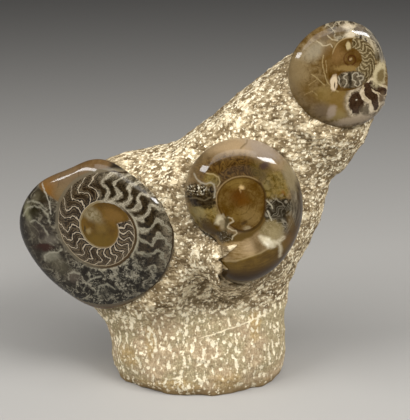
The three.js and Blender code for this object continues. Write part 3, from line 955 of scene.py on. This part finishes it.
    # the inner disc: brown round a dark orange heart, paler and mottled at its lower right
    core = mottled(cloud, (70, 32, 2), (122, 70, 16))
    core.lay(marble.step(0.5, 0.66) * 0.6, (62, 27, 2))
    core.lay(marble.step(0.44, 0.32) * 0.35, (190, 125, 40))
    core.soft_ovals(loose, wear, [
        ((-2, 6, 6, 6), (72, 22, 1), 0.75, 0.8), ((2, 2, 5, 4), (110, 42, 3), 0.5, 0.8),
        ((-4, 17, 9, 4), (185, 115, 26), 0.6, 0.7, 10), ((-4, -9, 6, 4), (180, 110, 24), 0.5, 0.7),
        ((8, -10, 8.5, 6.5), (195, 125, 40), 0.7, 0.6, -30),
        ((2, -14.5, 2.4, 1.5), (50, 26, 6), 0.9, 0.6, 20), ((5, -19, 3, 1.8), (270, 205, 110), 0.8),
        ((0.6, 13.5, 2, 1.4), (500, 340, 150), 1, 0.7, -20),
        ((-0.8, 11, 0.8, 1.8), (360, 230, 90), 0.7, 0.7, 10)])
    rings = banded(reach * 0.17 - turn + cloud * 0.25, 1)
    core.lay(rings.step(0.78, 1) * marble.step(0.35, 0.6) * 0.6, (60, 26, 3))
    inner = reach - stepped(turn, MIDDLE_DISC, 0, 40)
    color.lay(inner.step(0.35, -0.35), core)
    shade = abs(inner).step(1.6, 0.2) * turn.step(0.06, 0.12) * turn.step(0.56, 0.52)
    color.lay(shade * 0.75, (40, 20, 4))
    flipped = (turn + 0.5).fraction()
    light = abs(inner - 0.4).step(0.9, 0.2) * flipped.step(0.24, 0.28)
    color.lay(light * flipped.step(0.62, 0.58) * 0.55, (320, 220, 100))
    dark = abs(inner + 0.7).step(0.9, 0.2) * (turn + 0.25).fraction().step(0, 0.02)
    color.lay(dark * 0.5, (35, 14, 2))

    # the pale, dark-hearted swirl under the disc
    color.soft_ovals(ragged, wear, [
        ((-17, -11.6, 3, 3.6), (460, 390, 250), 0.95, 0.7, -35),
        ((-14.4, -17, 1.9, 3.4), (240, 190, 110), 0.7, 0.7),
        ((-15.6, -13.2, 1.8, 1.5), (170, 130, 70), 0.7, 0.7),
        ((-13.4, -25, 6.4, 4.6), (20, 13, 5), 0.9, 0.5, -15),
        ((-11.5, -15, 1.6, 6), (60, 45, 20), 0.85, 0.5, -8)])
    flecks = patch(loose, (-14, -26, 6, 4), 0.5) * grain(face, 1.2, 2, 0.7).step(0.56, 0.66)
    color.lay(flecks * 0.8, (300, 270, 200))
    color.veins(face, [
        ([(-10, -10.3), (-7.2, -11), (-6.2, -13.5), (-9.8, -15.3), (-10.9, -18.3), (-7.3, -20.4),
          (-4, -21), (-3.6, -23.2), (-6.6, -25), (-7.3, -27.8)], 2, 1.3, 0.15, 1, (450, 370, 230), 0.9),
        ([(7, 51), (5, 47), (0, 43.5)], 3, 1.5, 0.35, 0.6, (105, 68, 26), 0.7)])
    return gloss(shader, color, fine, 0.25), marble


polished("middle_ammonite", middle_calcite)

# ---- Top ammonite ----
# A smaller flat disc at the tip of the arm. The left half is its mud-filled body chamber, olive-brown
# with healed cracks. Small folded chambers wind down the right of its brown middle, and the large
# ones beyond them are dark red-brown inside thick cream walls.
TOP_CENTRE = (-3.4, 2.5, 0)
TOP_CHAMBERS = 23  # to a full turn of the small ones
# Radii of the edge of its brown middle, every 30 degrees clockwise from the top.
TOP_MIDDLE = (16.4, 17.4, 18.9, 19.5, 21, 22, 23.5, 25.5, 20, 15, 15.2, 16.3, 16.4)


def cells(where, size):
    """Millimetres to the nearest wall between rounded cells of a size."""
    return made(where.tree, "TexVoronoi", {"Vector": where, "Scale": 1 / size}, "Distance",
                feature="DISTANCE_TO_EDGE") * size


def top_calcite(tree, shader):
    face = face_of(tree, "top_ammonite")
    loose = stirred(face, 8, 3)
    ragged = stirred(stirred(face, 5, 2.6), 1.4, 1)
    _, _, reach, _, turn = polar(vector_math("SUBTRACT", stirred(face, 10, 1), TOP_CENTRE))
    cloud, marble, fine, wear = shell_noises(face, loose, 8, 2.6, 0.6)

    # body chamber: olive-brown and half clear, with healed cracks, and a painted sheen as a milky patch
    # at its upper left
    color = mottled(cloud, (98, 53, 11), (170, 112, 45))
    color.lay(marble.step(0.5, 0.66) * 0.75, (66, 34, 6))
    color.lay(marble.step(0.44, 0.34) * 0.4, (230, 165, 75))
    color.soft_ovals(loose, wear * 0.6, [
        # the second oval below, pale and milky at the upper left, is a painted sheen
        ((-46, -6, 9, 15), (230, 165, 80), 0.7), ((-30, 10, 11, 6), (330, 285, 195), 0.55, 0.6, 28),
        ((-21, 3, 5.5, 12), (110, 55, 10), 0.75), ((-38, -22, 8, 8), (130, 75, 18), 0.5, 0.7),
        ((-24, -24, 6, 7), (190, 125, 34), 0.6), ((-12, -30, 9, 12), (165, 100, 24), 0.8, 0.5),
        ((-13, -41, 7, 5), (210, 150, 50), 0.7), ((-24, -36, 7, 5), (120, 80, 42), 0.8, 0.6, -20),
        ((-17.5, -37.5, 3.4, 5.6), (270, 205, 145), 0.85, 0.4, -15)])
    for line, half, tone in (([(-24.5, 6), (-25.6, 0), (-24, -7), (-21.5, -15)], 0.05, 0.8),
                             ([(-22.8, 2), (-22.1, -7)], 0.05, 0.6),
                             ([(-33.3, -8.3), (-23.8, -16.7)], 0.05, 0.7),
                             ([(-36, -16.4), (-30, -12.7)], 0, 0.5),
                             ([(-39, -24), (-33.3, -20.9), (-29.3, -24.2)], 0, 0.5),
                             ([(-21, -15), (-17, -20), (-13, -22)], 0.1, 0.6)):
        crack = thread(stirred(face, 3, 1.2), line, half, 0.7) * fine.step(0.3, 0.5)
        color.lay(crack * tone, (420, 320, 150))

    # grey and cream chambers along the upper rim, and silvery streaks down the right of it, partly the
    # rim's streaked calcite and partly a painted reflection
    shells = mottled(marble * 0.6 + fine * 0.4, (12, 8, 3), (130, 98, 58), 0.12)
    shells.lay((cloud * 0.5 + marble * 0.5).step(0.6, 0.66), (400, 330, 225))
    lobes = cells(stirred(face, 4, 3.4), 5.5)
    shells.lay(lobes.step(0.7, 0.2) * marble.step(0.3, 0.5) * 0.7, (360, 300, 195))
    ahead = (turn + 0.2).fraction()
    upper = (reach - 16.5).step(0, 1) * ahead.step(0.08, 0.11) * ahead.step(0.47, 0.44)
    color.lay(upper, shells)
    # the silvery streaks are partly painted reflection on the right-hand rim
    streaks = grain(joined(reach * 1.2, turn * 14), 1.1, 3, 0.6)
    streaks_and_sheen = mottled(streaks, (22, 17, 10), (310, 270, 205))
    bow = (reach - 24).step(-2, 1) * turn.step(0.07, 0.11) * turn.step(0.3, 0.25)
    color.lay(bow * 0.9, streaks_and_sheen)
    color.soft_ovals(ragged, wear, [
        ((-11, 24, 5.2, 3.6), (105, 70, 30), 0.9, 0.4, 20), ((-22, 20, 5, 2.6), (110, 78, 45), 0.8, 0.5, 25),
        ((4.5, 25, 4, 3.6), (110, 85, 60), 0.85, 0.5), ((-3.5, 21, 3.8, 3.4), (500, 420, 290), 0.95, 0.5),
        ((-5, 27.5, 4.6, 2), (460, 380, 260), 0.8), ((17, 6, 1.8, 7), (50, 36, 16), 0.8, 0.5, 25),
        ((13.5, 11.5, 2, 6), (400, 330, 210), 0.7, 0.6, 25)])
    for line in ([(-29.5, 16.7), (-27.3, 15.3), (-25, 13.3), (-22.2, 13.4), (-19.4, 14.4),
                  (-17.7, 12.1)], [(-21.2, 20.8), (-18, 17.6), (-13.8, 17)]):
        color.lay(thread(stirred(face, 2.5, 1.2), line, 0.1, 0.8) * 0.8, (460, 380, 240))

    # large chambers at the lower right, dark red-brown inside thick cream walls
    heart = mottled(fine * 0.6 + marble * 0.4, (12, 4, 1), (56, 30, 14))
    ground = mottled(marble, (75, 55, 32), (330, 265, 180))
    cream = mottled(marble, (330, 255, 150), (520, 425, 290))
    color.lay(patch(ragged, (10, -29, 18, 16), 0.15, 20, wear * 0.3), ground)
    color.lay(patch(ragged, (1, -31, 7.4, 11), 0.2, 5, wear * 0.3), cream)
    color.lay(patch(ragged, (1.5, -31, 6.2, 9.4), 0.2, 5, wear * 0.6), heart)
    stir = stirred(stirred(face, 4, 2.2), 1.3, 0.8)
    for line, half, tone in (
            ([(10.2, -18), (11, -23.5), (15.5, -27.5), (16.8, -34)], 4.3, cream),
            ([(13, -15.5), (18, -20), (25, -22.5)], 3.9, cream),
            ([(10, -18.5), (11, -23.8), (15.8, -27.8), (17.2, -34)], 3, heart),
            ([(13.6, -16.5), (18, -20.2), (24.5, -23)], 2.6, heart),
            ([(6.6, -20), (5, -23.8), (7, -28), (11.7, -30.5), (14.2, -34), (14, -38)], 1, cream)):
        color.lay(thread(stir, line, half, 0.5), tone)
    color.soft_ovals(ragged, wear, [
        ((9, -36.5, 4.5, 3.6), (85, 62, 34), 0.85, 0.5), ((13.6, -36, 2, 3), (520, 430, 300), 0.95, 0.5),
        ((1.5, -29, 0.7, 0.6), (450, 400, 300), 0.9), ((22, -27, 2.6, 4), (110, 72, 38), 0.8, 0.5, -15),
        ((19.5, -9.5, 6, 9.5), (400, 330, 190), 0.95, 0.3, -12),
        ((20.8, -10.5, 3.2, 5.2), (120, 82, 30), 0.95, 0.4, -12),
        ((0, -45, 15, 3.4), (330, 255, 170), 0.8, 0.4, 8)])

    # the brown middle: a dark red spiral, and crowded small chambers round its right side
    core = mottled(cloud, (62, 28, 2), (110, 60, 15))
    core.lay(marble.step(0.52, 0.7) * 0.5, (60, 26, 3))
    coils = banded(reach * 0.3 - turn + cloud * 0.3, 1).step(0.35, 0.95) * reach.step(6.5, 5.2)
    core.lay(coils * 0.85, (45, 12, 2))
    core.soft_ovals(ragged, wear, [
        ((-3.2, 2.4, 0.9, 0.9), (340, 240, 120), 0.8), ((-7, -4.2, 9, 2.4), (220, 140, 45), 0.8, 0.5, -4),
        ((-14, 6, 5, 7), (215, 120, 40), 0.5, 0.7)])
    place = turn * TOP_CHAMBERS - stepped((reach - 8.2) / 9.5, LEFT_FOLD, -1, 1) * 1.1 + (marble - 0.5) * 1.5
    walls = to_wall(place, reach, TOP_CHAMBERS)
    small = mottled(marble * 0.6 + fine * 0.4, (45, 27, 7), (150, 108, 47), 0.12)
    small.lay((walls + wear * 0.6).step(1.1, 1.7) * marble.step(0.46, 0.6) * 0.8, (20, 11, 3))
    small.lay((walls + (fine - 0.5) * 1.2).step(0.8, 0.2) * 0.85, (300, 236, 130))
    belt = (reach + (cloud - 0.5) * 3).step(8.2, 9) * (turn + (marble - 0.5) * 0.06).step(0.44, 0.41)
    belt = belt * turn.step(0.005, 0.02)
    core.lay(belt, small)
    core.lay(patch(ragged, (-5.2, 13, 1.8, 3.2), 0.4, 0, wear) * 0.85, (420, 330, 170))
    folded = mottled(marble * 0.7 + fine * 0.3, (28, 19, 8), (140, 108, 66), 0.12)
    folded.lay(patch(loose, (-4, -13, 1.3, 7), 0.5) * 0.8, (14, 9, 4))
    for line in ([(-10.6, -19), (-12.6, -15), (-12, -12.5), (-13.2, -10), (-12.8, -7.6), (-9.5, -7.3),
                  (-5.9, -8.6), (-8.4, -10.2), (-8.9, -11.6), (-6.6, -13), (-6.2, -15.5), (-8.5, -19)],
                 [(2.3, -18.6), (-0.2, -17), (0.8, -14.5), (-2, -13), (-2, -9.4), (-0.2, -7.9),
                  (2.2, -8), (2.9, -9.5), (1.9, -10.8), (4.6, -10.1), (6.6, -10.6), (6.4, -13),
                  (3.8, -14), (4.6, -16.5), (2.3, -19)]):
        folded.lay(thread(stirred(face, 1.6, 0.9), line, 0.2, 0.7) * 0.9, (380, 325, 225))
    core.lay(patch(ragged, (-2.8, -13, 11, 6.6), 0.14, 3, wear * 0.4), folded)
    inner = reach - stepped(turn, TOP_MIDDLE, 0, 40)
    color.lay(inner.step(0.4, -0.4), core)
    quarter = (turn + 0.25).fraction()
    ring = abs(inner).step(0.8, 0.1) * quarter.step(0.03, 0.07) * quarter.step(0.3, 0.26)
    color.lay(ring * 0.65, (340, 250, 120))
    color.lay(patch(ragged, (-16.3, -15, 2.9, 6.2), 0.25, -6, wear * 0.4), (540, 420, 270))
    color.lay(patch(ragged, (-16, -17, 0.7, 2.2), 0.5), (70, 45, 20))
    return gloss(shader, color, fine, 0.22), marble


polished("top_ammonite", top_calcite)
